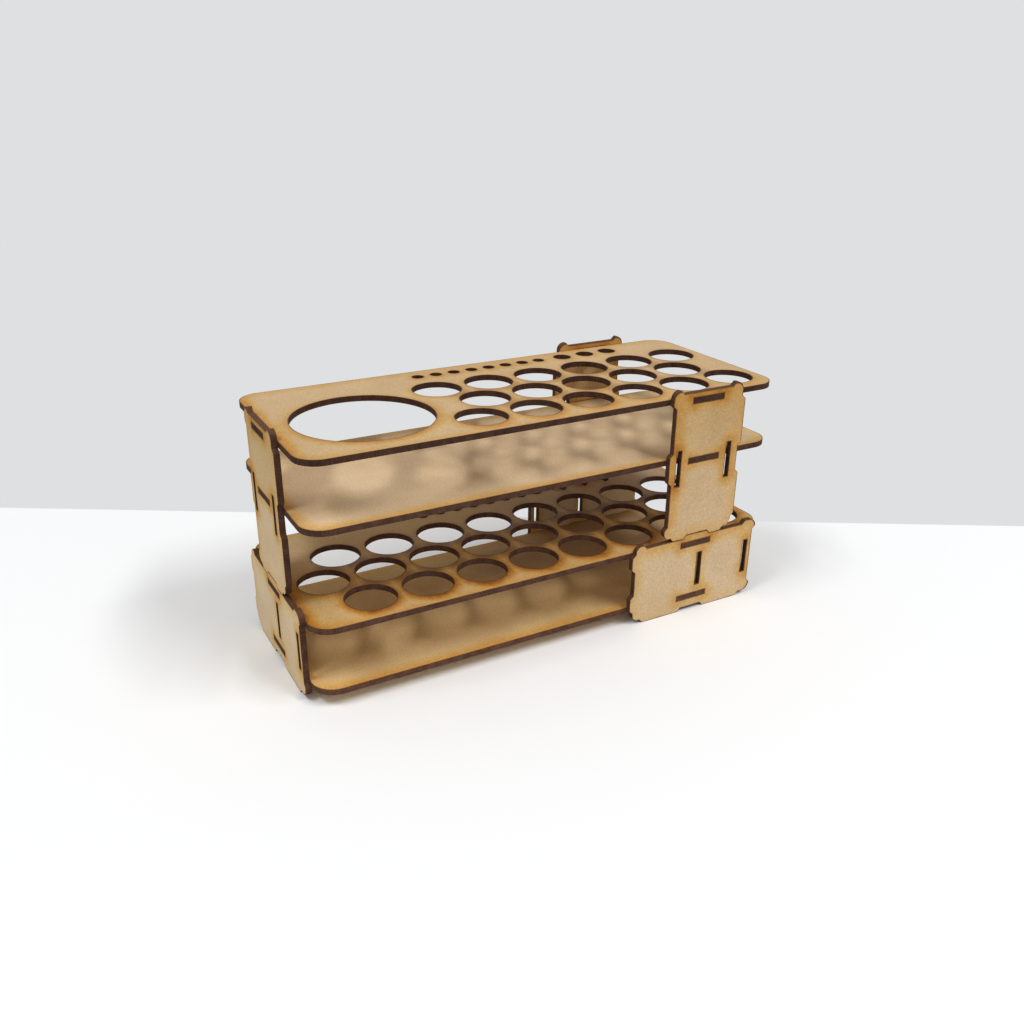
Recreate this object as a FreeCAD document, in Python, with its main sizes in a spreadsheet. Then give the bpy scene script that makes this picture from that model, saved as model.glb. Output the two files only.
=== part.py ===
"""Two-tier rack for paint bottles and brushes, cut from flat board and glued by tabs in slots.

Four plates of one outline lie level: a base, a plate with holes above it, a plain floor and a top
plate with holes. Six side panels of one outline carry them, three upright above three on their side.
+X runs along the rack, +Y to its rear and +Z up, from the middle of the whole rack at table level.
"""

import FreeCAD, Part
import os
import Sketcher

SIZES = {
    "BoardThickness": 3.0,  # every piece is cut from one board
    "SlotPlay": 0.1,  # a slot is this much longer and wider than the tab in it
    "PlateLength": 267.0,
    "PlateWidth": 108.0,
    "PlateCorner": 12.0,
    "TabLength": 20.0,
    "PanelInset": 50.5,  # from a plate's right edge to the middle of the front and rear panels
    # side panel, measured from the point midway between its two side slots
    "TierPitch": 33.0,  # between the two plates that one panel holds
    "SlotRise": 3.5,  # the middle slot sits this far above that point
    "PanelLeft": 20.5,
    "PanelRight": 25.0,
    "PanelTop": 40.8,
    "PanelFoot": 42.2,
    "PanelCorner": 4.5,
    # the stepped edges, by which a panel meshes with the next one
    "KeyDepth": 2.0,
    "KeyWidth": 14.0,  # at a key's tip, from which its mitred flanks slope out
    "KeyPlay": 0.1,
    "SideRecessLength": 66.0,  # between the ears of a long edge
    "EndRecessLength": 32.0,  # and of a short one
    # holes for bottles, in staggered rows that are filled from the right as far as there is room
    "PotRadius": 13.0,
    "PotPitch": 30.5,
    "RowPitch": 25.6,
    "FrontMargin": 20.5,  # from a plate's front edge to the middles of the front row
    "EndMargin": 18.0,  # the least from its left or right edge to the middle of a hole
    "WaterRadius": 35.0,  # the hole for a water jar
    "WaterInset": 46.0,  # from the left edge to its middle
    "WaterMargin": 2.0,  # the least from its right side to the left side of a bottle's hole
    # holes for brushes, in one row behind the bottles
    "RearMargin": 10.7,
    "FineRadius": 3.15,
    "FinePitch": 10.85,
    "FineInset": 97.0,
    "FineHoles": 8,
    "BroadRadius": 5.0,
    "BroadPitch": 15.6,
    "BroadInset": 189.0,
    "BroadHoles": 3,
}

# heights of the middles of the panels and plates above the table
LOW_PANEL = "Size.PanelRight"
HIGH_PANEL = f"({LOW_PANEL} + Size.PanelLeft + Size.PanelFoot)"
BASE = f"({LOW_PANEL} - Size.TierPitch / 2)"
LOWER = f"({LOW_PANEL} + Size.TierPitch / 2)"
FLOOR = f"({HIGH_PANEL} + Size.SlotRise)"
TOP = f"({FLOOR} + Size.TierPitch)"

# the left panel makes the rack one board longer than its plates, so they lie half a board to the right
PLATES_X = "Size.BoardThickness / 2"
PANEL_X = "(Size.PlateLength / 2 - Size.PanelInset)"
FRONT_ROW = "(Size.FrontMargin - Size.PlateWidth / 2)"

doc = FreeCAD.newDocument("PaintRack")
sheet = doc.addObject("Spreadsheet::Sheet", "Size")
for row, (name, size) in enumerate(SIZES.items(), start=1):
    sheet.set(f"A{row}", name)
    sheet.set(f"B{row}", str(size))
    sheet.setAlias(f"B{row}", name)
doc.recompute()


def value(expression):
    """What an expression on the sheet comes to, for the first drawing of a sketch."""
    return float(sheet.evalExpression(expression))


def new_body(name):
    body = doc.addObject("PartDesign::Body", name)
    body.Label = name
    return body


def origin_plane(body, role):
    return next(f for f in body.Origin.OriginFeatures if f.Role == role)


def new_sketch(body, name):
    """A sketch on the body's own XY plane."""
    sketch = body.newObject("Sketcher::SketchObject", name)
    sketch.AttachmentSupport = (origin_plane(body, "XY_Plane"), [""])
    sketch.MapMode = "FlatFace"
    return sketch


def hold_point(sketch, curve, point, x, y):
    """Place one point of a sketch by two expressions, measured from the origin."""
    for kind, text in (("DistanceX", x), ("DistanceY", y)):
        size = value(text)
        place = sketch.addConstraint(Sketcher.Constraint(kind, -1, 1, curve, point, size))
        sketch.setExpression(f"Constraints[{place}]", text)


def draw_outline(sketch, corners):
    """A closed run of straight sides through corners given as pairs of expressions."""
    first = sketch.GeometryCount
    points = [FreeCAD.Vector(value(x), value(y), 0) for x, y in corners]
    for start, end in zip(points, points[1:] + points[:1]):
        sketch.addGeometry(Part.LineSegment(start, end), False)
    for side, (x, y) in enumerate(corners):
        following = (side + 1) % len(corners)
        sketch.addConstraint(Sketcher.Constraint("Coincident", first + side, 2, first + following, 1))
        hold_point(sketch, first + side, 1, x, y)


def draw_box(sketch, left, right, front, back):
    draw_outline(sketch, [(left, front), (right, front), (right, back), (left, back)])


def draw_circle(sketch, x, y, radius):
    centre = FreeCAD.Vector(value(x), value(y), 0)
    curve = sketch.addGeometry(Part.Circle(centre, FreeCAD.Vector(0, 0, 1), value(radius)), False)
    hold_point(sketch, curve, 3, x, y)
    place = sketch.addConstraint(Sketcher.Constraint("Radius", curve, value(radius)))
    sketch.setExpression(f"Constraints[{place}]", radius)


def add_board(body, name, sketch):
    """Stand a sketch up to the thickness of the board."""
    pad = body.newObject("PartDesign::Pad", name)
    pad.Profile = sketch
    pad.setExpression("Length", "Size.BoardThickness")
    sketch.Visibility = False
    doc.recompute()
    return pad


def cut_through(body, name, sketch):
    """Cut a sketch through the board and make sure that it took material away."""
    before = body.Shape.Volume
    pocket = body.newObject("PartDesign::Pocket", name)
    pocket.Profile = sketch
    pocket.Type = "ThroughAll"
    pocket.Reversed = True
    doc.recompute()
    if body.Shape.Volume >= before:
        raise RuntimeError(f"{name} of {body.Label} cuts nothing")
    return pocket


def mirror(body, name, feature, role):
    mirrored = body.newObject("PartDesign::Mirrored", name)
    mirrored.Originals = [feature]
    mirrored.MirrorPlane = (origin_plane(body, role), [""])
    body.Tip = mirrored
    doc.recompute()


def round_corners(body, name, pad, radius):
    """Round the four upright edges of a board."""
    edges = [
        f"Edge{n}"
        for n, edge in enumerate(pad.Shape.Edges, start=1)
        if abs(edge.Vertexes[0].Z - edge.Vertexes[-1].Z) > 0.1
    ]
    fillet = body.newObject("PartDesign::Fillet", name)
    fillet.Base = (pad, edges)
    fillet.setExpression("Radius", radius)
    doc.recompute()


def cut_row(body, name, x, y, radius, count, pitch, leftward=False):
    """A row of equal round holes from one drawn hole."""
    sketch = new_sketch(body, f"{name}Sketch")
    draw_circle(sketch, x, y, radius)
    hole = cut_through(body, name, sketch)
    row = body.newObject("PartDesign::LinearPattern", f"{name}Row")
    row.Originals = [hole]
    row.Direction = (sketch, ["H_Axis"])
    row.Reversed = leftward
    row.setExpression("Length", f"({count} - 1) * {pitch}")
    row.setExpression("Occurrences", count)
    body.Tip = row
    doc.recompute()


def make_plate(name, height):
    """A level plate with one tab for the left panel and one each for the front and rear panels."""
    body = new_body(name)
    core = new_sketch(body, "PlateSketch")
    half_length = "Size.PlateLength / 2"
    half_width = "Size.PlateWidth / 2"
    draw_box(core, f"-{half_length}", half_length, f"-{half_width}", half_width)
    board = add_board(body, "Plate", core)
    round_corners(body, "PlateCorners", board, "Size.PlateCorner")

    half_tab = "Size.TabLength / 2"
    left_tab = new_sketch(body, "LeftTabSketch")
    draw_box(left_tab, f"-{half_length} - Size.BoardThickness", f"-{half_length}", f"-{half_tab}", half_tab)
    add_board(body, "LeftTab", left_tab)
    front_tab = new_sketch(body, "FrontTabSketch")
    draw_box(
        front_tab,
        f"{PANEL_X} - {half_tab}",
        f"{PANEL_X} + {half_tab}",
        f"-{half_width} - Size.BoardThickness",
        f"-{half_width}",
    )
    mirror(body, "RearTab", add_board(body, "FrontTab", front_tab), "XZ_Plane")
    body.setExpression("Placement.Base.x", PLATES_X)
    body.setExpression("Placement.Base.z", f"{height} - Size.BoardThickness / 2")
    return body


def cut_pots(body, left_margin):
    """Three rows of bottle holes, the middle one set back by half a pitch."""
    for step, name in enumerate(("FrontPots", "MiddlePots", "RearPots")):
        right_margin = "Size.EndMargin" if step != 1 else "(Size.EndMargin + Size.PotPitch / 2)"
        room = f"(Size.PlateLength - {left_margin} - {right_margin})"
        count = f"(floor({room} / Size.PotPitch) + 1)"
        x = f"Size.PlateLength / 2 - {right_margin}"
        y = f"{FRONT_ROW} + {step} * Size.RowPitch"
        cut_row(body, name, x, y, "Size.PotRadius", count, "Size.PotPitch", leftward=True)


def cut_brushes(body):
    """Holes for fine brushes and then for broad ones, in the row behind the bottles."""
    y = "Size.PlateWidth / 2 - Size.RearMargin"
    fine_x = "Size.FineInset - Size.PlateLength / 2"
    broad_x = "Size.BroadInset - Size.PlateLength / 2"
    cut_row(body, "FineBrushes", fine_x, y, "Size.FineRadius", "Size.FineHoles", "Size.FinePitch")
    cut_row(body, "BroadBrushes", broad_x, y, "Size.BroadRadius", "Size.BroadHoles", "Size.BroadPitch")


def cut_water_hole(body):
    sketch = new_sketch(body, "WaterSketch")
    x = "Size.WaterInset - Size.PlateLength / 2"
    draw_circle(sketch, x, f"{FRONT_ROW} + Size.RowPitch", "Size.WaterRadius")
    cut_through(body, "Water", sketch)


def make_panel(name):
    """A side panel, drawn upright with its inner face on the body's XY plane.

    Its right and lower edges stand proud in lands, and its left and upper edges step back in
    matching recesses, so that panels mesh side by side and one above another.
    """
    body = new_body(name)
    step = "(Size.KeyDepth + Size.KeyPlay)"
    left = "(Size.PanelLeft + Size.KeyDepth)"
    right = f"(Size.PanelRight - {step})"
    foot = f"(Size.PanelFoot - {step})"
    crown = "(Size.PanelTop + Size.KeyDepth)"
    core = new_sketch(body, "PanelSketch")
    draw_box(core, f"-{left}", right, f"-{foot}", crown)
    board = add_board(body, "Panel", core)
    round_corners(body, "PanelCorners", board, "Size.PanelCorner")

    # lands to each side of the notches in the right and lower edges
    key = "(Size.KeyWidth / 2)"
    wide_key = "(Size.KeyWidth / 2 + Size.KeyDepth)"
    side_ear = "(Size.SideRecessLength / 2)"
    end_ear = "(Size.EndRecessLength / 2)"
    side_land = new_sketch(body, "SideLandSketch")
    draw_outline(side_land, [
        (right, key),
        ("Size.PanelRight", wide_key),
        ("Size.PanelRight", f"{side_ear} - Size.KeyPlay"),
        (right, f"{side_ear} + Size.KeyDepth - Size.KeyPlay"),
    ])
    mirror(body, "SideLands", add_board(body, "SideLand", side_land), "XZ_Plane")
    end_land = new_sketch(body, "FootSketch")
    draw_outline(end_land, [
        (key, f"-{foot}"),
        (wide_key, "-Size.PanelFoot"),
        (f"{end_ear} - Size.KeyPlay", "-Size.PanelFoot"),
        (f"{end_ear} + Size.KeyDepth - Size.KeyPlay", f"-{foot}"),
    ])
    mirror(body, "Feet", add_board(body, "Foot", end_land), "YZ_Plane")

    # recesses between the ears, which leave a key in the middle of the left edge
    side_recess = new_sketch(body, "SideRecessSketch")
    outside = "(Size.PanelLeft + 2 * Size.KeyDepth)"
    draw_outline(side_recess, [
        ("-Size.PanelLeft", f"{wide_key} - Size.KeyPlay"),
        ("-Size.PanelLeft", side_ear),
        (f"-{outside}", f"{side_ear} + 2 * Size.KeyDepth"),
        (f"-{outside}", f"{wide_key} - Size.KeyPlay - 2 * Size.KeyDepth"),
    ])
    mirror(body, "SideRecesses", cut_through(body, "SideRecess", side_recess), "XZ_Plane")
    top_recess = new_sketch(body, "TopRecessSketch")
    above = "(Size.PanelTop + 2 * Size.KeyDepth)"
    draw_outline(top_recess, [
        (f"-{end_ear}", "Size.PanelTop"),
        (end_ear, "Size.PanelTop"),
        (f"{end_ear} + 2 * Size.KeyDepth", above),
        (f"-{end_ear} - 2 * Size.KeyDepth", above),
    ])
    cut_through(body, "TopRecess", top_recess)

    slots = new_sketch(body, "SlotSketch")
    half_long = "(Size.TabLength + Size.SlotPlay) / 2"
    half_thick = "(Size.BoardThickness + Size.SlotPlay) / 2"
    for rise in ("Size.SlotRise", "(Size.SlotRise + Size.TierPitch)"):
        draw_box(slots, f"-{half_long}", half_long, f"{rise} - {half_thick}", f"{rise} + {half_thick}")
    for side in ("-Size.TierPitch / 2", "Size.TierPitch / 2"):
        draw_box(slots, f"{side} - {half_thick}", f"{side} + {half_thick}", f"-{half_long}", half_long)
    cut_through(body, "Slots", slots)
    return body


UP = FreeCAD.Vector(0, 0, 1)
ALONG = FreeCAD.Vector(1, 0, 0)
ACROSS = FreeCAD.Vector(0, 1, 0)
# where a side's panels stand: the way to the right as one faces them, and the middle of their inner faces
SIDES = {
    "front": (ALONG, f"{PLATES_X} + {PANEL_X}", "-Size.PlateWidth / 2"),
    "left": (-ACROSS, f"{PLATES_X} - Size.PlateLength / 2", "0"),
    "rear": (-ALONG, f"{PLATES_X} + {PANEL_X}", "Size.PlateWidth / 2"),
}


def place_panel(body, side, on_its_side, height):
    rightward, x, y = SIDES[side]
    across, upward = (-UP, rightward) if on_its_side else (rightward, UP)
    body.Placement.Rotation = FreeCAD.Rotation(across, upward, rightward.cross(UP), "ZXY")
    body.setExpression("Placement.Base.x", x)
    body.setExpression("Placement.Base.y", y)
    body.setExpression("Placement.Base.z", height)


pieces = [make_plate("base_plate", BASE), make_plate("upper_floor", FLOOR)]

lower_hole_plate = make_plate("lower_hole_plate", LOWER)
cut_pots(lower_hole_plate, "Size.EndMargin")
cut_brushes(lower_hole_plate)
pieces.append(lower_hole_plate)

top_hole_plate = make_plate("top_hole_plate", TOP)
cut_pots(top_hole_plate, "(Size.WaterInset + Size.WaterRadius + Size.WaterMargin + Size.PotRadius)")
cut_brushes(top_hole_plate)
cut_water_hole(top_hole_plate)
pieces.append(top_hole_plate)

for side in SIDES:
    lower_panel = make_panel(f"{side}_lower_panel")
    place_panel(lower_panel, side, True, LOW_PANEL)
    upper_panel = make_panel(f"{side}_upper_panel")
    place_panel(upper_panel, side, False, HIGH_PANEL)
    pieces += [lower_panel, upper_panel]
doc.recompute()

for item in doc.Objects:
    if "Invalid" in item.State or "Error" in item.State:
        raise RuntimeError(f"{item.Name} failed: {item.State}")
for piece in pieces:
    if piece.Shape.isNull() or not piece.Shape.isValid() or len(piece.Shape.Solids) != 1:
        raise RuntimeError(f"{piece.Label} has no single valid solid")
os.makedirs("parts", exist_ok=True)
for piece in pieces:
    piece.Shape.exportStep(f"parts/{piece.Label}.step")
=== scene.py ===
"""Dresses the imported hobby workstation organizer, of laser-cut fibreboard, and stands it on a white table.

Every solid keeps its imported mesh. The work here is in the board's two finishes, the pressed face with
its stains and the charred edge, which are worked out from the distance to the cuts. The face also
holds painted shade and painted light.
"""
from dataclasses import dataclass, replace
from math import radians

import bpy
from mathutils import Matrix, Vector


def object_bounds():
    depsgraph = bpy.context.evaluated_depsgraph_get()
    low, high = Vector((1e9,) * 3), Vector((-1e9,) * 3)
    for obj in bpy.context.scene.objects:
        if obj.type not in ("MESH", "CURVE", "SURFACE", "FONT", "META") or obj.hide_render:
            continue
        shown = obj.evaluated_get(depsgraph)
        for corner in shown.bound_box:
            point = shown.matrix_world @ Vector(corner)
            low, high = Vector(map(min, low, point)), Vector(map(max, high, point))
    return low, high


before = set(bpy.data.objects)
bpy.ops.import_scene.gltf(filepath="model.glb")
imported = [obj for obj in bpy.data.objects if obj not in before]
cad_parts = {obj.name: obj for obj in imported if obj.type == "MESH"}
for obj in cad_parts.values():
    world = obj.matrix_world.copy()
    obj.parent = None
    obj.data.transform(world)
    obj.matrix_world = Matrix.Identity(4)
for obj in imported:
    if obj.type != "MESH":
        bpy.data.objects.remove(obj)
cad_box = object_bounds()

# ---------------------------------------------------------------- sizes of the rack, in millimetres
MM = 0.001
LOWEST, HIGHEST = (corner / MM for corner in cad_box)
BOARD = 3.0
SLOT_PLAY = 0.1
TAB_LENGTH = 20.0
PLATE_LEFT = LOWEST.x + BOARD  # the left panels, and the plates' tabs in them, are outside the plates
PLATE_RIGHT = HIGHEST.x
PLATE_X = (PLATE_LEFT + PLATE_RIGHT) / 2
PLATE_HALF = ((PLATE_RIGHT - PLATE_LEFT) / 2, HIGHEST.y - BOARD)
PLATE_CORNER = 12.0
PANEL_INSET = 50.5
PANEL_X = PLATE_RIGHT - PANEL_INSET  # the middle of the front and rear panels


@dataclass
class Row:
    """A row of round holes, or one hole, that runs along +X from the middle of its first one."""

    start: float
    y: float
    radius: float
    pitch: float = 1.0
    count: int = 1


POT_RADIUS = 13.0
POT_PITCH = 30.5
ROW_PITCH = 25.6
FRONT_MARGIN = 20.5
END_MARGIN = 18.0
REAR_MARGIN = 10.7
FRONT_ROW = FRONT_MARGIN - PLATE_HALF[1]
BRUSH_ROW = PLATE_HALF[1] - REAR_MARGIN
POT_RIGHT = PLATE_RIGHT - END_MARGIN  # the rightmost hole of the front row, and of the third
FINE_BRUSHES = Row(start=PLATE_LEFT + 97.0, y=BRUSH_ROW, radius=3.15, pitch=10.85, count=8)
BROAD_BRUSHES = Row(start=PLATE_LEFT + 189.0, y=BRUSH_ROW, radius=5.0, pitch=15.6, count=3)
WATER = Row(start=PLATE_LEFT + 46.0, y=FRONT_ROW + ROW_PITCH, radius=35.0)

# a side panel as it was cut, upright, from the point midway between its two side slots
PANEL_LEFT = 20.5
PANEL_RIGHT = 25.0
PANEL_TOP = 40.8
PANEL_FOOT = 42.2
KEY_DEPTH = 2.0  # how far its edges step in and out, and how long each step's slope is
KEY_WIDTH = 14.0  # of a key's tip
KEY_PLAY = 0.1
KEY_ROOT = KEY_WIDTH / 2 + KEY_DEPTH  # from the middle of an edge to where its key begins
SIDE_RECESS = 66.0  # between the ears at the ends of a long edge
END_RECESS = 32.0  # and of a short one
TIER_PITCH = 33.0  # between the two plates that one panel holds
SLOT_RISE = 3.5
SIDE_SLOTS = TIER_PITCH / 2
CROSS_SLOTS = (SLOT_RISE, SLOT_RISE + TIER_PITCH)
SLOT_HALF = ((TAB_LENGTH + SLOT_PLAY) / 2, (BOARD + SLOT_PLAY) / 2)
LYING_Z = PANEL_RIGHT
UPRIGHT_Z = LYING_Z + PANEL_LEFT + PANEL_FOOT

# a rounded box whose corners come close to a panel's own
CORE_MIDDLE = (0.2, -0.3)
CORE_HALF = (22.7, 42.5)
CORE_CORNER = 4.5
CORNER_ZONE = 5.0  # its corners count only this near to its ends,
ZONE_SLOPE = 5.0  # and soon count for nothing further in

# ---------------------------------------------------------------- how far marks reach, in millimetres
PLATE_REACH = 9.0
PANEL_REACH = 9.5
HOLE_REACH = 7.5
SLOT_REACH = 6.0
SLOT_END_REACH = 8.0
SIDE_BLEND = 4.0  # how softly the heat at one side passes into the next side's round a corner
RIM_SWING = 0.9
# fades over the distance to a cut, over X or over Y, from where a mark begins to where it is full
RIM_FADE = (0.75, 0.05)
# smoke stain and painted shade below a panel's crown
CROWN_SMOKE_AND_SHADE_FADE = (60.0, 0.0)
CORNER_SMOKE_X = (PLATE_LEFT + 35.0, PLATE_LEFT)
CORNER_SMOKE_Y = (10.0, -20.0)
# where the painted shade over a plate's rear, under the tier above it, begins and is full
REAR_SHADE_X = (-40.0, 30.0)
REAR_SHADE_Y = (-22.0, 2.0)
# where the painted shade on the ends of the left tab, down in the panels' slots, begins and is full
TAB_END_SHADE_X = (PLATE_LEFT - 0.2, PLATE_LEFT - 0.6)

# ---------------------------------------------------------------- how strong marks are
REACH_SWING = 0.9  # how unevenly heat reached, as a share
HEAT_SWING = 1.2  # and how unevenly it browned
HOLE_HEAT = (0.8, 0.55)  # its mean, and how much more it is at a hole's front and less at its rear
HEAT_DEPTHS = ((0.0, 0.09), (0.25, 0.10), (0.97, 0.0))  # by heat and its square, for red, green and blue
SMOKE_DEPTHS = (0.4, 0.6, 1.2)  # how strongly a wash dims red, green and blue
SOOT_DEPTHS = (0.65, 0.57, 0.05)
SOOT_START = 0.7  # soot settled only where holes crowd more than this
# the share of that painted shade which a plate's rear keeps at its left end
REAR_SHADE_AT_LEFT = 0.25
RIM_STRENGTH = 0.85
FLECK_STRENGTH = 0.55
UP_FACING_STRENGTH = 0.7
# how strongly that painted shade darkens the left tab's ends
TAB_END_SHADE_STRENGTH = 0.6

# ---------------------------------------------------------------- the board's texture
# noises: the size of their lumps in millimetres, their detail and their roughness
DRIFT = (16.0, 3.0, 0.5)
FINE_DRIFT = (3.5, 4.0, 0.6)
FIBRE = (0.6, 5.0, 0.72)
FLECKS = (1.4, 5.0, 0.8)
PATCHES = (26.0, 3.0, 0.55)
GRAIN = (0.9, 2.0, 0.5)
STRIAE = (0.5, 3.0, 0.6)
SOOT = (5.0, 3.0, 0.5)
STRIAE_SQUEEZE = 0.12  # of the space across the board, which makes them long that way

# how far each noise swings what it changes, and over which of their values one colour fades into another
FIBRE_CLOUDING = 0.6
CLOUD_FADE = (0.25, 0.75)
FLECK_FADE = (0.55, 0.80)
GRAIN_SWING = 0.6
FIBRE_SWING = 0.35
STRIAE_SHARE = 0.7
SOOT_SHARE = 0.5
RIDGE_FADE = (0.42, 0.85)
EDGE_FADE = (0.72, 0.68)  # over how squarely the surface faces across the board
UP_FACING_FADE = (0.3, 0.9)  # and over how squarely it faces up

ROUGHNESS = (0.7, 0.2)  # its mean and swing
SPECULAR = 0.04
BUMP_STRENGTH = 0.35
BUMP_HEIGHT = 0.12
FIBRE_RELIEF = 0.5
FLECK_RELIEF = 0.35
STRIAE_RELIEF = 1.6
RIM_RELIEF = 0.8


def linear(red, green, blue):
    """An sRGB colour of 0 to 255 as Blender's linear colour."""
    levels = [level / 255 for level in (red, green, blue)]
    return [v / 12.92 if v <= 0.04045 else ((v + 0.055) / 1.055) ** 2.4 for v in levels] + [1.0]


PALE_FIBRE = linear(214, 187, 148)
TAN = linear(194, 165, 125)
DARK_FIBRE = linear(160, 130, 94)
SCORCH = linear(74, 48, 34)
CHAR = linear(67, 45, 35)
CHAR_RIDGE = linear(96, 68, 55)
# a paler colour for a panel's cut edges where they face up
UP_FACING_EDGE = linear(96, 70, 52)
# painted shade: the ends of the left tab, as if down in their slots
TAB_END_SHADE = linear(46, 26, 8)


# ---------------------------------------------------------------- numbers made of shader nodes
def empty_tree(owner):
    """The node tree of a material or world, without its default nodes."""
    owner.use_nodes = True
    owner.node_tree.nodes.clear()
    return owner.node_tree


class Num:
    """A number that varies over the surface, as the output of a shader node."""

    def __init__(self, tree, source):
        self.tree = tree
        self.source = source

    def op(self, kind, *others, clamp=False):
        """What a Math node of that kind makes of this and the others."""
        node = self.tree.nodes.new("ShaderNodeMath")
        node.operation = kind
        node.use_clamp = clamp
        for socket, value in zip(node.inputs, (self, *others)):
            feed(self.tree, socket, value)
        return Num(self.tree, node.outputs[0])

    def __add__(self, other):
        return self.op("ADD", other)

    def __sub__(self, other):
        return self.op("SUBTRACT", other)

    def __mul__(self, other):
        return self.op("MULTIPLY", other)

    def __truediv__(self, other):
        return self.op("DIVIDE", other)

    def __neg__(self):
        return self * -1.0

    def __abs__(self):
        return self.op("ABSOLUTE")

    def least(self, *others):
        result = self
        for other in others:
            result = result.op("MINIMUM", other)
        return result

    def most(self, *others):
        result = self
        for other in others:
            result = result.op("MAXIMUM", other)
        return result

    def fade(self, none, full):
        """0 where this is at none, 1 where it is at full, and smooth in between."""
        rises = none < full
        node = self.tree.nodes.new("ShaderNodeMapRange")
        node.interpolation_type = "SMOOTHSTEP"
        feed(self.tree, node.inputs["Value"], self)
        feed(self.tree, node.inputs["From Min"], min(none, full))
        feed(self.tree, node.inputs["From Max"], max(none, full))
        feed(self.tree, node.inputs["To Min"], 0.0 if rises else 1.0)
        feed(self.tree, node.inputs["To Max"], 1.0 if rises else 0.0)
        return Num(self.tree, node.outputs["Result"])

    def decay(self, length):
        """1 where this is 0, falling off by e over each length."""
        return (self.most(0.0) / -length).op("EXPONENT")

    def step(self):
        """How far up a key's slope a point is, 0 to 1, that is this far beyond the slope's foot."""
        return self.op("MULTIPLY", 1.0 / KEY_DEPTH, clamp=True)

    def about(self, mean, swing):
        """This noise around that mean in place of 0.5, and spread by that swing."""
        return (self - 0.5) * swing + mean


def feed(tree, socket, value):
    """Gives a socket a Num, the output of another node or a plain value."""
    if isinstance(value, Num):
        tree.links.new(value.source, socket)
    elif isinstance(value, bpy.types.NodeSocket):
        tree.links.new(value, socket)
    else:
        socket.default_value = value


def total(numbers):
    first, *rest = numbers
    for number in rest:
        first = first + number
    return first


def distance(a, b):
    return (a * a + b * b).op("SQRT")


def box_distance(u, v, half_u, half_v, corner=0.0):
    """Signed distance from a rectangle with rounded corners, below 0 inside it."""
    over_u = abs(u) - (half_u - corner)
    over_v = abs(v) - (half_v - corner)
    return distance(over_u.most(0.0), over_v.most(0.0)) + over_u.most(over_v).least(0.0) - corner


def noise(tree, where, size, detail, roughness, squeeze=None):
    """Smooth noise around 0.5 with lumps of about that size, in millimetres."""
    if squeeze:
        mapping = tree.nodes.new("ShaderNodeMapping")
        feed(tree, mapping.inputs["Vector"], where)
        feed(tree, mapping.inputs["Scale"], squeeze)
        where = mapping.outputs["Vector"]
    node = tree.nodes.new("ShaderNodeTexNoise")
    feed(tree, node.inputs["Vector"], where)
    feed(tree, node.inputs["Scale"], 1.0 / (size * MM))
    feed(tree, node.inputs["Detail"], detail)
    feed(tree, node.inputs["Roughness"], roughness)
    return Num(tree, node.outputs["Fac"])


def axes(tree, vector):
    """The X, Y and Z of a vector."""
    split = tree.nodes.new("ShaderNodeSeparateXYZ")
    feed(tree, split.inputs[0], vector)
    return [Num(tree, output) for output in split.outputs]


def facing(tree, axis):
    """How squarely the surface faces along an axis, 0 for X to 2 for Z: 1 along it and -1 against it."""
    return axes(tree, tree.nodes.new("ShaderNodeNewGeometry").outputs["True Normal"])[axis]


# ---------------------------------------------------------------- colours made of shader nodes
def mix(tree, kind, factor, under, over):
    node = tree.nodes.new("ShaderNodeMix")
    node.data_type = "RGBA"
    node.blend_type = kind
    feed(tree, node.inputs["Factor"], factor)
    colours = [socket for socket in node.inputs if socket.type == "RGBA"]
    feed(tree, colours[0], under)
    feed(tree, colours[1], over)
    return next(socket for socket in node.outputs if socket.type == "RGBA")


def blend(tree, factor, under, over):
    """A colour that goes from under to over as factor goes from 0 to 1."""
    return mix(tree, "MIX", factor, under, over)


def times(tree, colour, tint):
    return mix(tree, "MULTIPLY", 1.0, colour, tint)


def colour_of(tree, levels):
    """The colour of three linear levels: red, green and blue."""
    combine = tree.nodes.new("ShaderNodeCombineColor")
    for socket, level in zip(combine.inputs, levels):
        feed(tree, socket, level)
    return combine.outputs[0]


def heat_tint(tree, heat):
    """What a face's colour is multiplied by where that much heat has reached it: tan to gold to brown."""
    square = heat * heat
    powers = [heat * -depth - square * square_depth for depth, square_depth in HEAT_DEPTHS]
    return colour_of(tree, [power.op("EXPONENT") for power in powers])


def wash_tint(tree, amount, depths):
    """What a face's colour is multiplied by under that much of a wash."""
    return colour_of(tree, [(amount * -depth).op("EXPONENT") for depth in depths])


def toned(colour, tone):
    return [level * share for level, share in zip(colour, (*tone, 1.0))]


# ---------------------------------------------------------------- the cuts and the marks they left
class Cut:
    """One cut line: the distance to it, how strongly its heat browned the face, and how far that reached.

    A stain has no line of its own, so it chars no rim.
    """

    def __init__(self, gap, heat, reach, is_stain=False):
        self.gap = gap
        self.heat = heat
        self.reach = reach
        self.is_stain = is_stain

    def browning(self, spread):
        """The heat at each point, where spread is how far heat got there as a share of its reach."""
        return (self.gap / spread).fade(self.reach, 0.0) * self.heat


def nearest_heat(sides, heats):
    """The heat at the nearest of an outline's sides, blended round its corners."""
    pulls = [gap.decay(SIDE_BLEND) for gap in sides]
    return total([pull * heat for pull, heat in zip(pulls, heats)]) / total(pulls)


def row_cut(x, y, row, heat):
    """The cuts of a row of holes, whose fronts took more of that heat than their rears."""
    index = ((x - row.start) / row.pitch).op("ROUND").most(0.0).least(row.count - 1.0)
    off_y = y - row.y
    centre_gap = distance(x - row.start - index * row.pitch, off_y)
    mean, swing = HOLE_HEAT
    return Cut(centre_gap - row.radius, (-off_y / centre_gap * swing + mean) * heat, HOLE_REACH)


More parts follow.
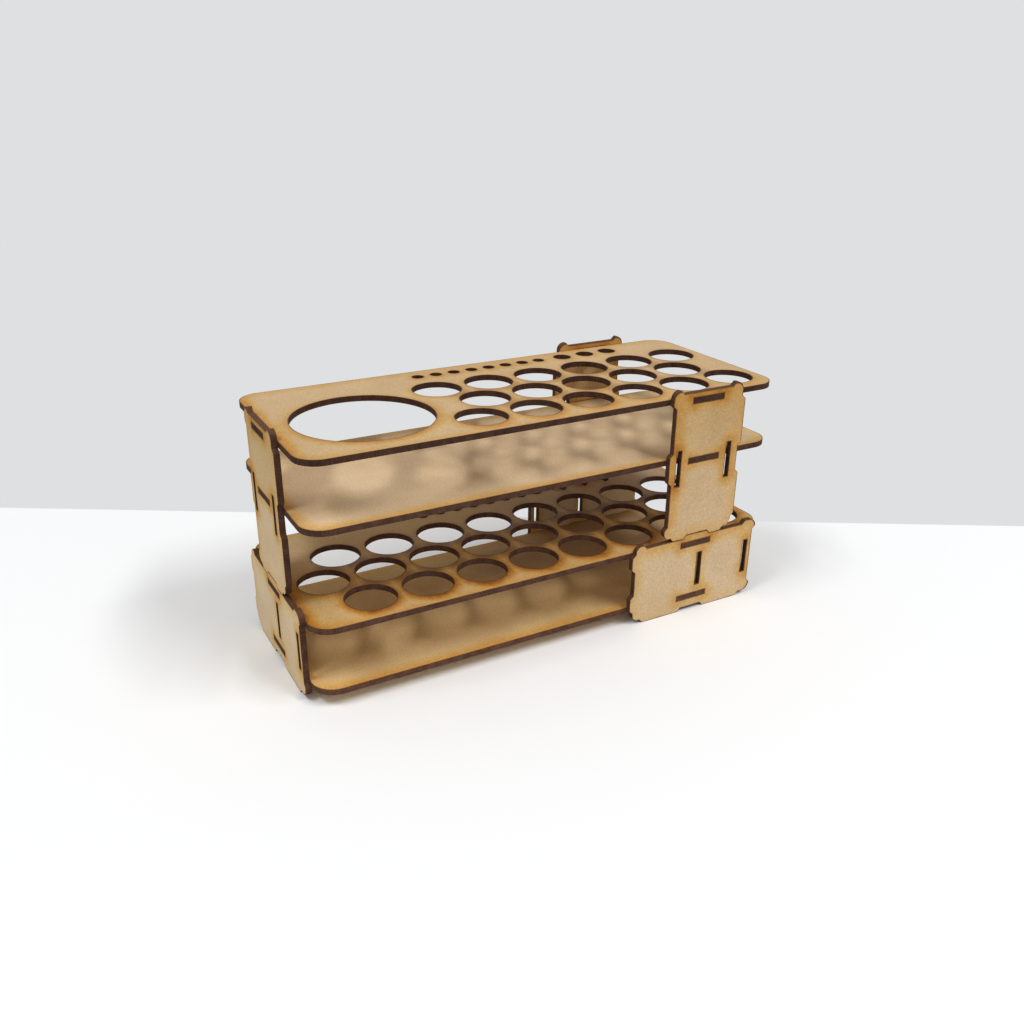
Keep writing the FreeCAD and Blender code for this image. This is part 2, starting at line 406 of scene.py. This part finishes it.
def small_rows(counts, shares):
    """A plate's rows of bottle holes, front row first, and of brush holes, each with its share of heat."""
    rows = []
    for index, (count, share) in enumerate(zip(counts, shares)):
        right = POT_RIGHT - (POT_PITCH / 2 if index % 2 else 0.0)
        start = right - POT_PITCH * (count - 1)
        rows.append((Row(start, FRONT_ROW + index * ROW_PITCH, POT_RADIUS, POT_PITCH, count), share))
    return rows + [(brushes, shares[-1]) for brushes in (FINE_BRUSHES, BROAD_BRUSHES)]


@dataclass
class Plate:
    """A level plate, by what marked its board."""

    tone: tuple  # what its face's colours are multiplied by
    clouds: float  # how blotchy its face is
    char: float  # how pale its edge is
    heats: tuple  # at its left, front, rear and right sides
    rows: tuple = ()  # each with its share of the heat
    hole_heats: tuple = ()  # from its left end to its middle, and at its right end
    smoke: float = 0.0  # which yellowed its front left corner
    soot: float = 0.0  # which greyed the webs between its holes
    rear_shade_depths: tuple = ()  # how strongly painted shade dims its rear in red, green and blue
    across = 2  # the axis of the board's thickness, 0 for X to 2 for Z

    def marks(self, x, y, z):
        """Its cuts, and its washes, each as how much of it there is and how strongly it dims."""
        holes = self.holes(x, y) if self.rows else []
        washes = []
        if self.smoke:
            washes.append((x.fade(*CORNER_SMOKE_X) * y.fade(*CORNER_SMOKE_Y) * self.smoke, SMOKE_DEPTHS))
        # painted shade over the plate's rear, stronger to the right
        if self.rear_shade_depths:
            washes.append((y.fade(*REAR_SHADE_Y) * (x.fade(*REAR_SHADE_X) + REAR_SHADE_AT_LEFT), self.rear_shade_depths))
        if self.soot:
            crowd = total([hole.gap.fade(HOLE_REACH, 0.0) for hole in holes])
            washes.append(((crowd - SOOT_START).most(0.0) * self.soot, SOOT_DEPTHS))
        return [self.outline(x - PLATE_X, y), *holes], washes

    def outline(self, off_x, y):
        half_x, half_y = PLATE_HALF
        body = box_distance(off_x, y, half_x, half_y, PLATE_CORNER)
        side_tabs = box_distance(off_x - (PANEL_X - PLATE_X), y, TAB_LENGTH / 2, half_y + BOARD)
        left_tab = box_distance(off_x + half_x, y, BOARD, TAB_LENGTH / 2)
        sides = (off_x + half_x, y + half_y, -y + half_y, -off_x + half_x)
        return Cut(-body.least(side_tabs, left_tab), nearest_heat(sides, self.heats), PLATE_REACH)

    def holes(self, x, y):
        middle, right = self.hole_heats
        heat = (x - PLATE_X).fade(0.0, PLATE_HALF[0]) * (right - middle) + middle
        return [row_cut(x, y, row, heat * share) for row, share in self.rows]

    def last_mark(self, tree, x, edge):
        """The cut edge, with painted shade on the ends of the left tab, which sit in the panels' slots."""
        return blend(tree, x.fade(*TAB_END_SHADE_X) * TAB_END_SHADE_STRENGTH, edge, TAB_END_SHADE)


@dataclass
class Panel:
    """A side panel, upright or lying, by what marked its board."""

    lying: bool
    tone: tuple  # what its face's colours are multiplied by
    heats: tuple  # at its left, crown, foot and right sides as it was cut
    slot_heat: float
    smoke: float = 0.0  # smoke stain and painted shade, which yellow and darken the board below its crown
    side: str = "front"
    clouds: float = 0.5  # how blotchy its face is
    char: float = 1.0  # how pale its edge is

    @property
    def across(self):
        """The axis of the board's thickness, 0 for X to 2 for Z."""
        return 0 if self.side == "left" else 1

    def marks(self, x, y, z):
        """Its cuts, and its washes, each as how much of it there is and how strongly it dims."""
        u, v = self.as_cut(x, y, z)
        edges = self.edges(u, v)
        outline = edges[0].least(*edges[1:], self.corners(u, v))
        cuts = [Cut(outline, nearest_heat(edges, self.heats), PANEL_REACH), *self.slots(u, v)]
        # smoke stain and painted shade below the crown
        washes = [(edges[1].fade(*CROWN_SMOKE_AND_SHADE_FADE) * self.smoke, SMOKE_DEPTHS)] if self.smoke else []
        return cuts, washes

    def as_cut(self, x, y, z):
        """How far to the right of the panel's middle and above it a point was when the panel was cut."""
        along = {"front": x - PANEL_X, "left": -y, "rear": -x + PANEL_X}[self.side]
        return (-z + LYING_Z, along) if self.lying else (along, z - UPRIGHT_Z)

    def edges(self, u, v):
        """How far inside each of its stepped edges a point is: left, crown, foot and right."""
        far_u, far_v = abs(u), abs(v)
        side_step = (-far_v + KEY_ROOT).step().most((far_v - SIDE_RECESS / 2).step())
        crown_step = (far_u - END_RECESS / 2).step()
        foot_step = (-far_u + KEY_ROOT).step().most(crown_step)
        return [
            u + PANEL_LEFT + side_step * KEY_DEPTH,
            -v + PANEL_TOP + crown_step * KEY_DEPTH,
            v + PANEL_FOOT - foot_step * (KEY_DEPTH + KEY_PLAY),
            -u + PANEL_RIGHT - side_step * (KEY_DEPTH + KEY_PLAY),
        ]

    def corners(self, u, v):
        """How far inside its rounded corners a point near to one is, and too far to count elsewhere."""
        (middle_u, middle_v), (half_u, half_v) = CORE_MIDDLE, CORE_HALF
        out_of_zone = (-abs(u) + (half_u - CORNER_ZONE)).most(-abs(v) + (half_v - CORNER_ZONE), 0.0)
        core = box_distance(u - middle_u, v - middle_v, half_u, half_v, CORE_CORNER)
        return out_of_zone * ZONE_SLOPE - core

    def slots(self, u, v):
        """Its slots, and the stains at their ends."""
        long, thick = SLOT_HALF
        far_u, far_v = abs(u), abs(v)
        slots = [box_distance(far_u - SIDE_SLOTS, v, thick, long)]
        slots += [box_distance(u, v - rise, long, thick) for rise in CROSS_SLOTS]
        ends = [distance(far_u - SIDE_SLOTS, far_v - long)]
        ends += [distance(far_u - long, v - rise) for rise in CROSS_SLOTS]
        stains = [Cut(end - thick, self.slot_heat, SLOT_END_REACH, is_stain=True) for end in ends]
        return [Cut(slot, self.slot_heat, SLOT_REACH) for slot in slots] + stains

    def last_mark(self, tree, x, edge):
        """The cut edge, paler where it faces up."""
        return blend(tree, facing(tree, 2).fade(*UP_FACING_FADE) * UP_FACING_STRENGTH, edge, UP_FACING_EDGE)


# ---------------------------------------------------------------- the board's finishes
def pressed_face(tree, place, board, fibre, flecks):
    """The colour of a bare face: clouds of pale and tan fibres, dark flecks and a fine grain."""
    pale, tan, dark = (toned(colour, board.tone) for colour in (PALE_FIBRE, TAN, DARK_FIBRE))
    patches = noise(tree, place, *PATCHES)
    clouds = fibre.about(0.5, FIBRE_CLOUDING) + patches.about(0.0, board.clouds)
    face = blend(tree, clouds.fade(*CLOUD_FADE), pale, tan)
    face = blend(tree, flecks.fade(*FLECK_FADE) * FLECK_STRENGTH, face, dark)
    grain = noise(tree, place, *GRAIN).about(1.0, GRAIN_SWING) + fibre.about(0.0, FIBRE_SWING)
    return times(tree, face, colour_of(tree, [grain] * 3))


def marked_face(tree, face, heat, washes, rim):
    """A bare face's colour with what heat, washes and the scorched rim of the cuts did to it; some washes
    are painted shade.
    """
    face = times(tree, face, heat_tint(tree, heat))
    for amount, depths in washes:
        face = times(tree, face, wash_tint(tree, amount, depths))
    return blend(tree, rim * RIM_STRENGTH, face, SCORCH)


def charred_edge(tree, place, board, striae):
    """The colour of a cut edge: char, with paler ridges."""
    soot = noise(tree, place, *SOOT)
    ridges = (striae * STRIAE_SHARE + soot * SOOT_SHARE).fade(*RIDGE_FADE)
    char, ridge = (toned(colour, [board.char] * 3) for colour in (CHAR, CHAR_RIDGE))
    return blend(tree, ridges, char, ridge)


def board_surface(tree, colour, roughness, height):
    """The shader of the board's surface, with that relief in it."""
    bump = tree.nodes.new("ShaderNodeBump")
    feed(tree, bump.inputs["Strength"], BUMP_STRENGTH)
    feed(tree, bump.inputs["Distance"], BUMP_HEIGHT * MM)
    feed(tree, bump.inputs["Height"], height)
    shader = tree.nodes.new("ShaderNodeBsdfPrincipled")
    feed(tree, shader.inputs["Base Color"], colour)
    feed(tree, shader.inputs["Roughness"], roughness)
    feed(tree, shader.inputs["Specular IOR Level"], SPECULAR)
    feed(tree, shader.inputs["Normal"], bump.outputs["Normal"])
    return shader.outputs["BSDF"]


def board_material(name, board):
    """Fibreboard from which a laser has cut that plate or panel."""
    material = bpy.data.materials.new(name)
    tree = empty_tree(material)
    place = tree.nodes.new("ShaderNodeTexCoord").outputs["Object"]
    x, y, z = (level / MM for level in axes(tree, place))

    cuts, washes = board.marks(x, y, z)
    spread = noise(tree, place, *DRIFT).about(1.0, REACH_SWING)
    fine_drift = noise(tree, place, *FINE_DRIFT)
    heat = total([cut.browning(spread) for cut in cuts]) * fine_drift.about(1.0, HEAT_SWING)
    nearest = cuts[0].gap.least(*[cut.gap for cut in cuts[1:] if not cut.is_stain])
    rim = (nearest + fine_drift.about(0.0, RIM_SWING)).fade(*RIM_FADE)

    fibre = noise(tree, place, *FIBRE)
    flecks = noise(tree, place, *FLECKS)
    face = marked_face(tree, pressed_face(tree, place, board, fibre, flecks), heat, washes, rim)

    squeeze = [STRIAE_SQUEEZE if axis == board.across else 1.0 for axis in range(3)]
    striae = noise(tree, place, *STRIAE, squeeze)
    edge = board.last_mark(tree, x, charred_edge(tree, place, board, striae))

    is_edge = abs(facing(tree, board.across)).fade(*EDGE_FADE)
    face_relief = (fibre * FIBRE_RELIEF + flecks * FLECK_RELIEF) * (-is_edge + 1.0)
    height = face_relief + striae * is_edge * STRIAE_RELIEF - rim * RIM_RELIEF
    surface = board_surface(tree, blend(tree, is_edge, face, edge), fibre.about(*ROUGHNESS), height)
    feed(tree, tree.nodes.new("ShaderNodeOutputMaterial").inputs["Surface"], surface)
    return material


def dress(node, material):
    """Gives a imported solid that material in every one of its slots."""
    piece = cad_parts[node]
    if not piece.material_slots:
        piece.data.materials.append(material)
    for part_slot in piece.material_slots:
        part_slot.material = material


# ---------------------------------------------------------------- the plates and panels
# the plates' tones hold painted light and shade as well as the board's colour: the top plate is toned
# darker, as painted shade, and the upper floor and the base, deep inside the rack, are toned lighter, as
# painted light
PLATES = {
    "top_hole_plate": Plate(
        tone=(0.89, 0.86, 0.83), clouds=0.35, char=0.75, heats=(1.3, 0.5, 0.5, 0.1),
        rows=(*small_rows((6, 5, 6), (1.0, 0.6, 0.7)), (WATER, 1.0)), hole_heats=(0.95, 0.45),
        smoke=0.1, soot=0.5),
    "lower_hole_plate": Plate(
        tone=(0.99, 0.98, 0.91), clouds=0.35, char=1.1, heats=(1.9, 0.8, 0.6, 0.4),
        rows=tuple(small_rows((8, 8, 8), (1.0, 0.45, 0.05))), hole_heats=(1.8, 1.4),
        # its rear is darkened with painted shade under the upper floor
        smoke=0.5, soot=0.95, rear_shade_depths=(0.22, 0.22, 0.1)),
    "upper_floor": Plate(
        tone=(1.09, 1.13, 1.22), clouds=0.6, char=0.95, heats=(1.0, 1.0, 0.6, 0.4)),
    "base_plate": Plate(
        tone=(1.12, 1.08, 0.90), clouds=0.6, char=1.35, heats=(0.4, 1.1, 0.6, 0.4),
        # its rear is darkened with painted shade under the lower plate
        rear_shade_depths=(0.30, 0.34, 0.24)),
}
TIERS = {
    "lower": Panel(
        lying=True, tone=(1.01, 1.03, 1.07), heats=(0.9, 0.6, 0.5, 0.15), slot_heat=0.4),
    "upper": Panel(
        # smoke below its crown, with painted shade there
        lying=False, tone=(0.99, 0.98, 0.99), heats=(0.95, 0.8, 0.45, 0.45), slot_heat=0.5, smoke=0.4),
}
SIDES = {  # what the tone of the panels on each side, and the heat at their edges, are multiplied by
    "front": ((1.01, 1.01, 1.02), 1.0),
    "left": ((1.01, 1.07, 1.14), 0.65),
    "rear": ((1.0, 1.0, 1.0), 1.0),
}

for node, plate in PLATES.items():
    dress(node, board_material(f"board_{node}", plate))
for side, (hue, heat_share) in SIDES.items():
    for tier, panel in TIERS.items():
        tone = tuple(level * share for level, share in zip(panel.tone, hue))
        heats = tuple(heat * heat_share for heat in panel.heats)
        board = replace(panel, side=side, tone=tone, heats=heats)
        dress(f"{side}_{tier}_panel", board_material(f"board_{side}_{tier}", board))

# ---------------------------------------------------------------- table, in metres
TABLE_REAR = (Vector((-0.121, 0.205, 0.0)), Vector((0.232, -0.002, 0.0)))  # two points of its rear edge
TABLE_DEPTH = 0.62
TABLE_HALF_LENGTH = 0.55
TABLE_COLOUR = linear(246, 247, 248)
TABLE_ROUGHNESS = 0.75
TABLE_SPECULAR = 0.2


def table_finish():
    """A plain matt white."""
    material = bpy.data.materials.new("table_white")
    material.use_nodes = True
    shader = material.node_tree.nodes["Principled BSDF"]
    shader.inputs["Base Color"].default_value = TABLE_COLOUR
    shader.inputs["Roughness"].default_value = TABLE_ROUGHNESS
    shader.inputs["Specular IOR Level"].default_value = TABLE_SPECULAR
    return material


def table():
    """The top of the table, a sheet in front of its rear edge."""
    start, end = TABLE_REAR
    along = (end - start).normalized()
    forward = Vector((along.y, -along.x, 0.0)) * TABLE_DEPTH
    left = (start + end) / 2 - along * TABLE_HALF_LENGTH
    right = (start + end) / 2 + along * TABLE_HALF_LENGTH
    mesh = bpy.data.meshes.new("table")
    mesh.from_pydata([left, left + forward, right + forward, right], [], [(0, 1, 2, 3)])
    mesh.materials.append(table_finish())
    piece = bpy.data.objects.new("table", mesh)
    bpy.context.collection.objects.link(piece)


table()

# ---------------------------------------------------------------- light, in metres and watts
UP = Vector((0.0, 0.0, 1.0))
VIEW_ALONG = Vector((0.487, 0.873, 0.0))  # level direction in which the camera looks
VIEW_LEFT = Vector((-VIEW_ALONG.y, VIEW_ALONG.x, 0.0))
RACK_MIDDLE = Vector((0.0, 0.0, 0.06))
LIGHT_HEIGHT = 2.6
STRIP_WIDTH = 0.4
# a strip's place to the left and to the near side, as shares of its height, then its length and power
STRIPS = {
    "left_strip": (0.52, 0.38, 1.2, 30.2),
    "right_strip": (-0.66, 0.33, 1.72, 45.8),
}
SKY_STRENGTH = 0.485
SKY_COLOUR = (1.0, 1.0, 1.0, 1.0)
WALL_COLOUR = linear(223, 224, 225)


def strip_light(name, left, near, length, power):
    """A strip of soft light over the rack, its length along the camera's view."""
    light = bpy.data.lights.new(name, "AREA")
    light.shape = "RECTANGLE"
    light.size = STRIP_WIDTH
    light.size_y = length
    light.energy = power
    lamp = bpy.data.objects.new(name, light)
    toward = (UP + VIEW_LEFT * left - VIEW_ALONG * near) * LIGHT_HEIGHT
    back = toward.normalized()
    up = (VIEW_ALONG - back * VIEW_ALONG.dot(back)).normalized()
    lamp.matrix_world = Matrix((up.cross(back), up, back)).transposed().to_4x4()
    lamp.location = RACK_MIDDLE + toward
    bpy.context.collection.objects.link(lamp)


def background(tree, strength, colour):
    node = tree.nodes.new("ShaderNodeBackground")
    feed(tree, node.inputs["Strength"], strength)
    feed(tree, node.inputs["Color"], colour)
    return node.outputs["Background"]


def sky():
    """An even surround that lights the rack; the camera and reflections see the wall's colour instead."""
    world = bpy.data.worlds.new("room")
    bpy.context.scene.world = world
    tree = empty_tree(world)
    path = tree.nodes.new("ShaderNodeLightPath")
    rays = [Num(tree, path.outputs[f"Is {kind} Ray"]) for kind in ("Camera", "Glossy", "Transmission")]
    choose = tree.nodes.new("ShaderNodeMixShader")
    feed(tree, choose.inputs["Fac"], rays[0].most(*rays[1:]))
    feed(tree, choose.inputs[1], background(tree, SKY_STRENGTH, SKY_COLOUR))
    feed(tree, choose.inputs[2], background(tree, 1.0, WALL_COLOUR))
    feed(tree, tree.nodes.new("ShaderNodeOutputWorld").inputs["Surface"], choose.outputs[0])


for name, strip in STRIPS.items():
    strip_light(name, *strip)
sky()

# ---------------------------------------------------------------- camera
CAMERA_AT = (-0.23695, -0.42581, 0.27139)  # in metres
CAMERA_TURN = (66.0604, -0.4774, -28.9125)  # in degrees about X, Y and Z
SENSOR_WIDTH = 36.0  # in millimetres
LENS = 33.85
CLIP_START = 0.01

camera_data = bpy.data.cameras.new("camera")
camera_data.sensor_fit = "HORIZONTAL"
camera_data.sensor_width = SENSOR_WIDTH
camera_data.lens = LENS
camera_data.clip_start = CLIP_START
camera = bpy.data.objects.new("camera", camera_data)
camera.location = CAMERA_AT
camera.rotation_euler = [radians(angle) for angle in CAMERA_TURN]
bpy.context.collection.objects.link(camera)
bpy.context.scene.camera = camera
bpy.context.scene.view_settings.view_transform = "Standard"
